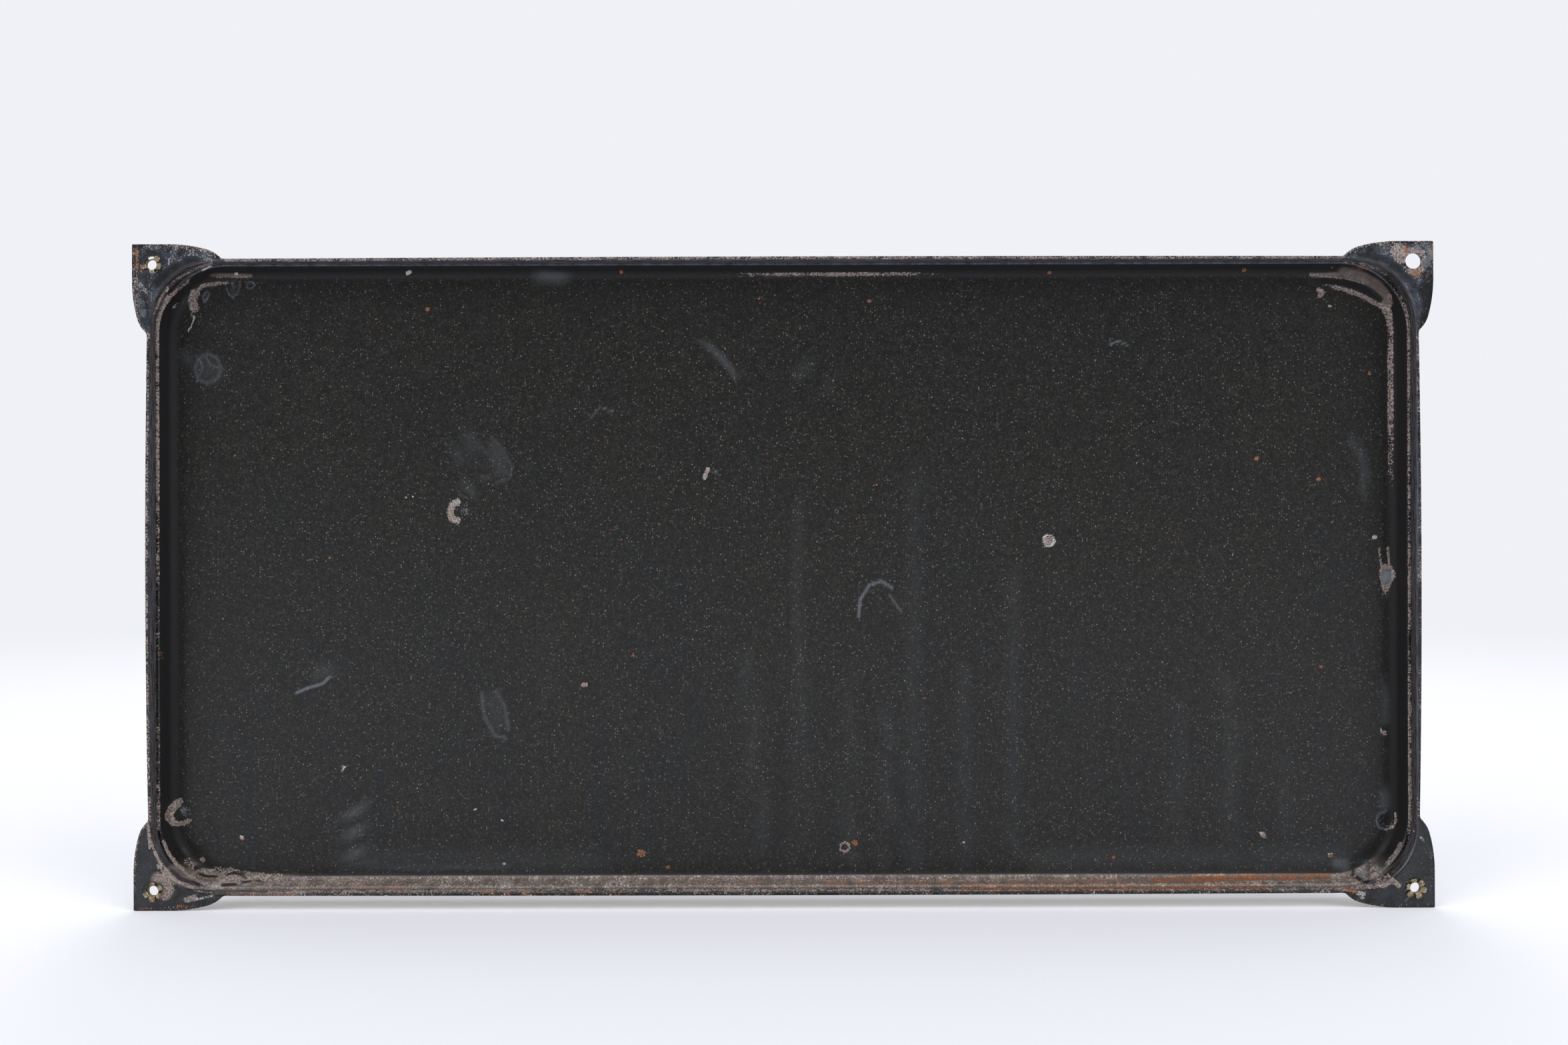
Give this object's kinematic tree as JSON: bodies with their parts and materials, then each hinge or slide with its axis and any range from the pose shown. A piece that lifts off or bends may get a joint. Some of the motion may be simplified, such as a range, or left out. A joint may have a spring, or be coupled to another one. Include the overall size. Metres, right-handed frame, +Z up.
{
  "type": "enamel advertising sign",
  "caption": "Pressed-steel enamelled wall sign seen from its open back: a shallow stepped pan with a flat fixing ear at each corner and split brass eyelets in the fixing holes.",
  "frame": {"origin": "centre of the sign's box: half way between the petals' crests behind and the display side's face", "axes": "+X along the long side, to the right as seen from behind; +Y out of the display side; +Z up, with the sign upright as it hangs"},
  "size_m": [0.7, 0.0262, 0.3586],
  "materials": {
    "black_enamel": "fired charcoal-black vitreous enamel on steel sheet, glossy, finely speckled, chipped and rusted",
    "aged_brass": "dull aged brass, brown in the bores and worn brighter on the petals"
  },
  "bodies": {
    "root": {"sign_panel": "black_enamel", "eyelet_upper_left": "aged_brass", "eyelet_lower_left": "aged_brass", "eyelet_lower_right": "aged_brass"}
  },
  "joints": []
}
